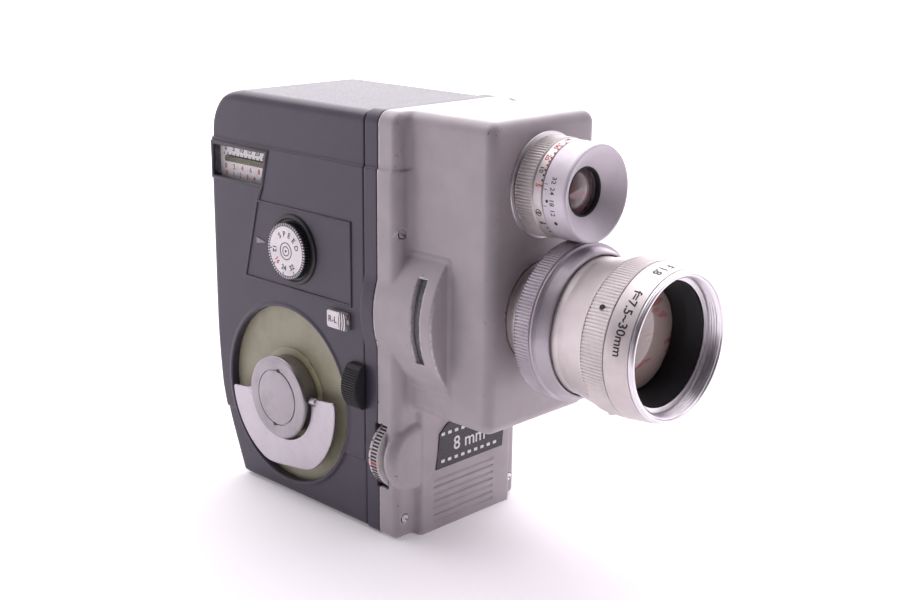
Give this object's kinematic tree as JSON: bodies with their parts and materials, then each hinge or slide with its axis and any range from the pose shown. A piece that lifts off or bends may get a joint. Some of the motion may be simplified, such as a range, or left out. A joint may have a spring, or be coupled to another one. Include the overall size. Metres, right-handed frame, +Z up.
{
  "type": "cine camera",
  "caption": "Spring-wound double-8 cine camera with zoom lens, light meter eye, folding winding key, film door and spring drive",
  "frame": {"origin": "Mouth of the tripod socket in the base, on the lens's centre plane", "axes": "+X from the winding key side to the film door side, +Y from the lens to the eyepiece, +Z up"},
  "size_m": [0.0614, 0.172, 0.13],
  "materials": {
    "case_paint": "satin hammered blue-grey enamel",
    "silver_paint": "satin silver enamel, chipped on the edges",
    "satin_aluminium": "satin anodised and turned",
    "key_metal": "brushed",
    "khaki_paint": "matt",
    "collar_paint": "matt",
    "black_plastic": "moulded, ribbed",
    "white_scale": "printed scale",
    "clear_glass": "clear",
    "coated_glass": "coated lens",
    "black_metal": "matt black enamel",
    "brass": "machined",
    "steel": "machined",
    "spring_steel": "blued",
    "nickel": "bright"
  },
  "bodies": {
    "body": {"rear_case": "case_paint", "case_frame": "case_paint", "front_housing": "silver_paint", "nameplate": "black_metal", "flange_screws": "nickel", "tripod_bush": "nickel", "key_recess_plate": "khaki_paint", "key_collar": "collar_paint", "speed_dial_seat": "black_plastic", "dial_pointer": "satin_aluminium", "counter_scale": "white_scale", "counter_window": "clear_glass", "scale_window": "clear_glass", "eye_base_ring": "satin_aluminium", "eye_hood": "satin_aluminium", "eye_lens": "coated_glass", "photocell": "black_metal", "lens_tube": "satin_aluminium", "relay_element": "coated_glass", "finder_prism_box": "black_metal", "finder_tube": "black_metal", "eyepiece_ring": "black_plastic", "eyepiece_lens": "coated_glass", "door_hinge_pin": "steel", "mechanism_plate": "steel", "film_gate": "steel", "spool_spindles": "steel"},
    "key": {"key_hub": "key_metal", "key_cap": "key_metal", "wing_pins": "steel"},
    "wing": {"key_wing": "nickel"},
    "dial": {"speed_dial": "black_plastic", "dial_face": "satin_aluminium"},
    "lock": {"lock_slider": "nickel"},
    "release": {"release_button": "black_plastic"},
    "counter": {"counter_pointer": "black_metal"},
    "wheel": {"aperture_wheel": "white_scale"},
    "scale": {"aperture_scale": "white_scale"},
    "iris": {"iris_blades": "spring_steel"},
    "speed_ring": {"film_speed_ring": "satin_aluminium"},
    "zoom": {"zoom_ring": "satin_aluminium"},
    "variator": {"variator_group": "coated_glass"},
    "focus": {"focus_barrel": "satin_aluminium", "filter_ring": "satin_aluminium", "front_baffle": "black_metal"},
    "front_glass": {"front_element": "coated_glass"},
    "door": {"film_door": "case_paint"},
    "latch": {"door_latch": "nickel"},
    "barrel": {"mainspring_barrel": "brass", "mainspring": "spring_steel"},
    "second_gear": {"intermediate_gear": "brass"},
    "crown": {"crown_wheel": "brass"},
    "governor_rotor": {"governor": "brass"},
    "cross": {"cross_shaft": "steel"},
    "shutter_disc": {"shutter": "black_metal"},
    "pressure": {"pressure_plate": "nickel"},
    "claw_arm": {"claw": "steel"},
    "supply": {"supply_spool": "black_metal"},
    "takeup": {"takeup_spool": "black_metal"}
  },
  "joints": [
    {"name": "key_wind", "type": "hinge", "parent": "body", "child": "key", "pos_m": [-0.03, 0.0227, 0.0347], "axis": [-1, 0, 0], "continuous": true},
    {"name": "wing_fold", "type": "hinge", "parent": "key", "child": "wing", "pos_m": [-0.0292, 0.0227, 0.0347], "axis": [0, 0.9925, -0.1219], "range_deg": [0, 90]},
    {"name": "speed_dial_turn", "type": "hinge", "parent": "body", "child": "dial", "pos_m": [-0.029, 0.0183, 0.0831], "axis": [-1, 0, 0], "range_deg": [0, 125]},
    {"name": "lock_slide", "type": "slide", "parent": "body", "child": "lock", "axis": [0, 1, 0], "range_m": [-0.0014, 0.0014]},
    {"name": "release_press", "type": "slide", "parent": "body", "child": "release", "axis": [0, 0, -1], "range_m": [0, 0.003], "stiffness_N_per_m": 150},
    {"name": "counter_travel", "type": "slide", "parent": "body", "child": "counter", "axis": [0, 1, 0], "range_m": [0, 0.0188]},
    {"name": "aperture_wheel_turn", "type": "hinge", "parent": "body", "child": "wheel", "pos_m": [-0.02, -0.0215, 0.0262], "axis": [0, -1, 0], "range_deg": [-45, 45]},
    {"name": "aperture_scale_turn", "type": "hinge", "parent": "body", "child": "scale", "pos_m": [0, -0.0375, 0.0705], "axis": [0, -1, 0], "range_deg": [-15, 15]},
    {"name": "iris_turn", "type": "hinge", "parent": "body", "child": "iris", "pos_m": [0, -0.0464, 0.0743], "axis": [0, -1, 0], "range_deg": [-22.5, 22.5]},
    {"name": "film_speed_turn", "type": "hinge", "parent": "body", "child": "speed_ring", "pos_m": [0, -0.066, 0.1111], "axis": [0, -1, 0], "range_deg": [-90, 90]},
    {"name": "zoom_turn", "type": "hinge", "parent": "body", "child": "zoom", "pos_m": [0, -0.073, 0.0743], "axis": [0, -1, 0], "range_deg": [0, 90]},
    {"name": "variator_slide", "type": "slide", "parent": "body", "child": "variator", "axis": [0, -1, 0], "range_m": [0, 0.014]},
    {"name": "focus_turn", "type": "hinge", "parent": "body", "child": "focus", "pos_m": [0, -0.09, 0.0743], "axis": [0, -1, 0], "range_deg": [0, 160]},
    {"name": "front_glass_slide", "type": "slide", "parent": "body", "child": "front_glass", "axis": [0, -1, 0], "range_m": [0, 0.002]},
    {"name": "door_swing", "type": "hinge", "parent": "body", "child": "door", "pos_m": [0.0276, -0.013, 0.065], "axis": [0, 0, -1], "range_deg": [0, 110]},
    {"name": "latch_turn", "type": "hinge", "parent": "door", "child": "latch", "pos_m": [0.0267, 0.047, 0.066], "axis": [1, 0, 0], "range_deg": [-90, 0]},
    {"name": "barrel_spin", "type": "hinge", "parent": "body", "child": "barrel", "pos_m": [-0.015, 0.0227, 0.0347], "axis": [-1, 0, 0], "continuous": true},
    {"name": "second_gear_spin", "type": "hinge", "parent": "body", "child": "second_gear", "pos_m": [-0.009, 0.0177, 0.06306], "axis": [-1, 0, 0], "continuous": true},
    {"name": "crown_spin", "type": "hinge", "parent": "body", "child": "crown", "pos_m": [-0.01, -0.00267, 0.062], "axis": [-1, 0, 0], "continuous": true},
    {"name": "governor_spin", "type": "hinge", "parent": "body", "child": "governor_rotor", "pos_m": [-0.012, -0.0005, 0.07431], "axis": [-1, 0, 0], "continuous": true},
    {"name": "cross_shaft_spin", "type": "hinge", "parent": "body", "child": "cross", "pos_m": [-0.0152, -0.02, 0.062], "axis": [0, -1, 0], "continuous": true},
    {"name": "shutter_spin", "type": "hinge", "parent": "body", "child": "shutter_disc", "pos_m": [-0.002, -0.0263, 0.062], "axis": [0, -1, 0], "continuous": true},
    {"name": "pressure_plate_slide", "type": "slide", "parent": "body", "child": "pressure", "axis": [0, 1, 0], "range_m": [0, 0.002], "stiffness_N_per_m": 100},
    {"name": "claw_stroke", "type": "slide", "parent": "body", "child": "claw_arm", "axis": [0, 0, 1], "range_m": [0, 0.0038]},
    {"name": "supply_spool_spin", "type": "hinge", "parent": "body", "child": "supply", "pos_m": [0.004, 0.027, 0.086], "axis": [-1, 0, 0], "continuous": true},
    {"name": "takeup_spool_spin", "type": "hinge", "parent": "body", "child": "takeup", "pos_m": [0.004, 0.027, 0.032], "axis": [-1, 0, 0], "continuous": true}
  ],
  "couplings": [
    {"joint": "barrel_spin", "follows": "crown_spin", "ratio": 0.034483},
    {"joint": "second_gear_spin", "follows": "crown_spin", "ratio": -0.17241},
    {"joint": "governor_spin", "follows": "crown_spin", "ratio": -4},
    {"joint": "cross_shaft_spin", "follows": "crown_spin", "ratio": 2.5},
    {"joint": "shutter_spin", "follows": "crown_spin", "ratio": -1.1667},
    {"joint": "aperture_scale_turn", "follows": "aperture_wheel_turn", "ratio": -0.33333},
    {"joint": "iris_turn", "follows": "aperture_wheel_turn", "ratio": -0.5},
    {"joint": "variator_slide", "follows": "zoom_turn", "m_per_rad": 0.008913},
    {"joint": "front_glass_slide", "follows": "focus_turn", "m_per_rad": 0.000716}
  ]
}
